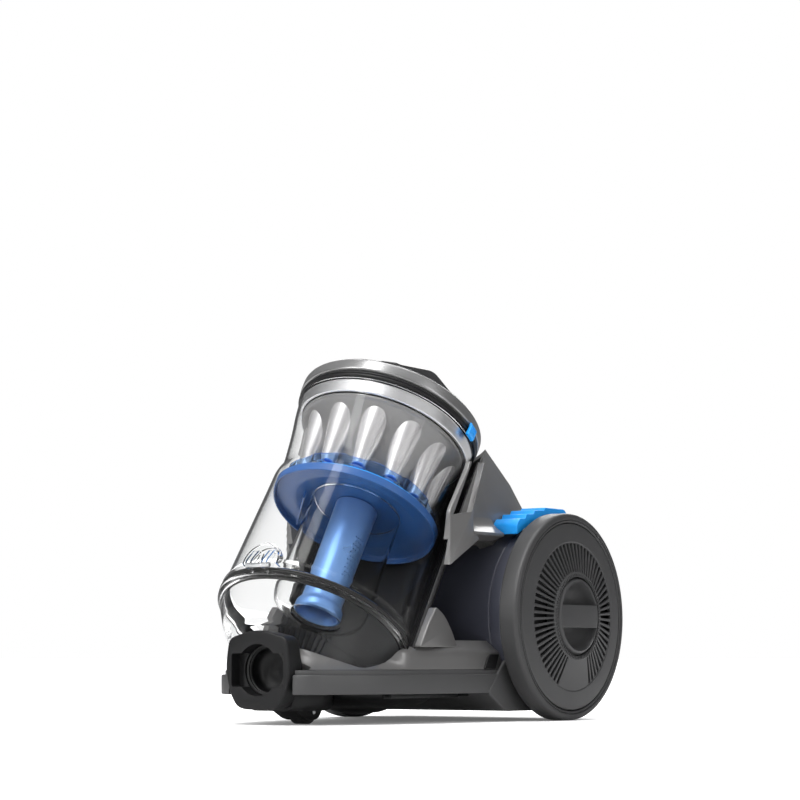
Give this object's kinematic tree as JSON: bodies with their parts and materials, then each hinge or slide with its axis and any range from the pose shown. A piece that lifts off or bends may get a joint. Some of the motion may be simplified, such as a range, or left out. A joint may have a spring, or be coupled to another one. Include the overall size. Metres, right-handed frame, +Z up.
{
  "type": "cylinder vacuum cleaner",
  "caption": "Bagless cylinder vacuum cleaner with large side wheels, a tilted clear cyclone canister with lid and door, and a hose port.",
  "frame": {"origin": "on the ground, under the middle of the whole machine", "axes": "+Z up, -Y towards the hose inlet at the front, +X towards the side with the lid catch"},
  "size_m": [0.2976, 0.4276, 0.3455],
  "materials": {
    "graphite": "fine moulded grain",
    "gunmetal": "gloss metallic paint",
    "black": "fine moulded grain",
    "navy": "high gloss",
    "wheel_grey": "satin moulded",
    "tread": "soft matte",
    "seal": "soft matte",
    "blue": "satin moulded",
    "deep_blue": "translucent tint",
    "clear": "clear polycarbonate",
    "smoke_blue": "tinted translucent",
    "chrome": "vacuum metallised",
    "silver": "satin metallised",
    "steel": "turned",
    "copper": "wound",
    "foam": "open-cell foam",
    "paper": "pleated filter paper"
  },
  "bodies": {
    "chassis": {"base_tray": "graphite", "base_cover": "gunmetal", "cradle_liner": "black", "inlet_bezel": "black", "inlet_socket": "graphite", "inlet_seal": "seal", "drum_shell": "navy", "drum_cap_right": "graphite", "drum_cap_left": "graphite", "vent_cover_right": "wheel_grey", "vent_cover_left": "wheel_grey", "hepa_filter_right": "paper", "hepa_filter_left": "paper", "motor_can": "steel", "fan_housing": "black", "motor_mount": "seal", "reel_axle": "steel", "spine_shell": "gunmetal", "pedal_pin_right": "steel", "pedal_pin_left": "steel", "caster_socket": "black", "cord_outlet": "black"},
    "right_wheel": {"tyre_right": "tread", "wheel_rim_right": "wheel_grey"},
    "left_wheel": {"tyre_left": "tread", "wheel_rim_left": "wheel_grey"},
    "right_knob": {"vent_knob_right": "graphite"},
    "left_knob": {"vent_knob_left": "graphite"},
    "motor_rotor": {"motor_armature": "copper", "motor_fan": "steel"},
    "cord_reel": {"reel_drum": "graphite"},
    "caster": {"caster_fork": "black", "caster_axle": "steel"},
    "caster_roller": {"caster_wheel": "tread"},
    "right_pedal": {"pedal_right": "blue"},
    "left_pedal": {"pedal_left": "blue"},
    "canister": {"clear_bin": "clear", "door_hinge_pin": "steel", "shroud_disc": "deep_blue", "feed_tube": "deep_blue", "fine_dust_jar": "clear", "cyclone_pack": "chrome", "cone_tip_ring": "smoke_blue", "vortex_plate": "graphite", "silver_band": "silver", "bin_collar": "black", "motor_filter": "foam", "lid_hinge_pin": "steel"},
    "door": {"bin_door": "clear", "door_seal": "seal"},
    "lid": {"lid_ring": "gunmetal", "lid_crown": "gunmetal", "grip_pad": "seal"},
    "catch": {"lid_catch": "blue"},
    "button": {"release_button": "blue"}
  },
  "joints": [
    {"name": "right_wheel_spin", "type": "hinge", "parent": "chassis", "child": "right_wheel", "pos_m": [0.128, 0.1058, 0.1], "axis": [1, 0, 0], "continuous": true},
    {"name": "left_wheel_spin", "type": "hinge", "parent": "chassis", "child": "left_wheel", "pos_m": [-0.128, 0.1058, 0.1], "axis": [1, 0, 0], "continuous": true},
    {"name": "right_knob_twist", "type": "hinge", "parent": "chassis", "child": "right_knob", "pos_m": [0.13, 0.1058, 0.1], "axis": [1, 0, 0], "range_deg": [0, 60]},
    {"name": "left_knob_twist", "type": "hinge", "parent": "chassis", "child": "left_knob", "pos_m": [-0.13, 0.1058, 0.1], "axis": [-1, 0, 0], "range_deg": [0, 60]},
    {"name": "motor_spin", "type": "hinge", "parent": "chassis", "child": "motor_rotor", "pos_m": [0.03, 0.1058, 0.1], "axis": [1, 0, 0], "continuous": true},
    {"name": "reel_spin", "type": "hinge", "parent": "chassis", "child": "cord_reel", "pos_m": [-0.07, 0.1058, 0.1], "axis": [1, 0, 0], "continuous": true},
    {"name": "caster_swivel", "type": "hinge", "parent": "chassis", "child": "caster", "pos_m": [0, -0.1562, 0.03], "axis": [0, 0, 1], "continuous": true},
    {"name": "caster_roll", "type": "hinge", "parent": "caster", "child": "caster_roller", "pos_m": [0, -0.1432, 0.011], "axis": [1, 0, 0], "continuous": true},
    {"name": "right_pedal_press", "type": "hinge", "parent": "chassis", "child": "right_pedal", "pos_m": [0.098, 0.1328, 0.197], "axis": [1, 0, 0], "range_deg": [0, 4], "stiffness_Nm_per_rad": 3, "springref_deg": -4.58},
    {"name": "left_pedal_press", "type": "hinge", "parent": "chassis", "child": "left_pedal", "pos_m": [-0.098, 0.1328, 0.197], "axis": [1, 0, 0], "range_deg": [0, 4], "stiffness_Nm_per_rad": 3, "springref_deg": -4.58},
    {"name": "canister_lift", "type": "slide", "parent": "chassis", "child": "canister", "axis": [0, 0.5237, 0.8519], "range_m": [0, 0.25]},
    {"name": "door_drop", "type": "hinge", "parent": "canister", "child": "door", "pos_m": [0, -0.21018, 0.14329], "axis": [-1, 0, 0], "range_deg": [0, 66]},
    {"name": "lid_open", "type": "hinge", "parent": "canister", "child": "lid", "pos_m": [-0.0955, -0.00729, 0.2862], "axis": [0, -0.8519, 0.5237], "range_deg": [0, 95]},
    {"name": "catch_press", "type": "hinge", "parent": "lid", "child": "catch", "pos_m": [0.09249, 0.00378, 0.2794], "axis": [0.1392, -0.8436, 0.5186], "range_deg": [0, 7], "stiffness_Nm_per_rad": 0.3, "springref_deg": -5.73},
    {"name": "button_press", "type": "slide", "parent": "lid", "child": "button", "axis": [0, -0.5237, -0.8519], "range_m": [0, 0.003], "stiffness_N_per_m": 300, "springref_m": -0.002}
  ],
  "couplings": [
    {"joint": "door_drop", "follows": "canister_lift", "rad_per_m": 4.6}
  ]
}
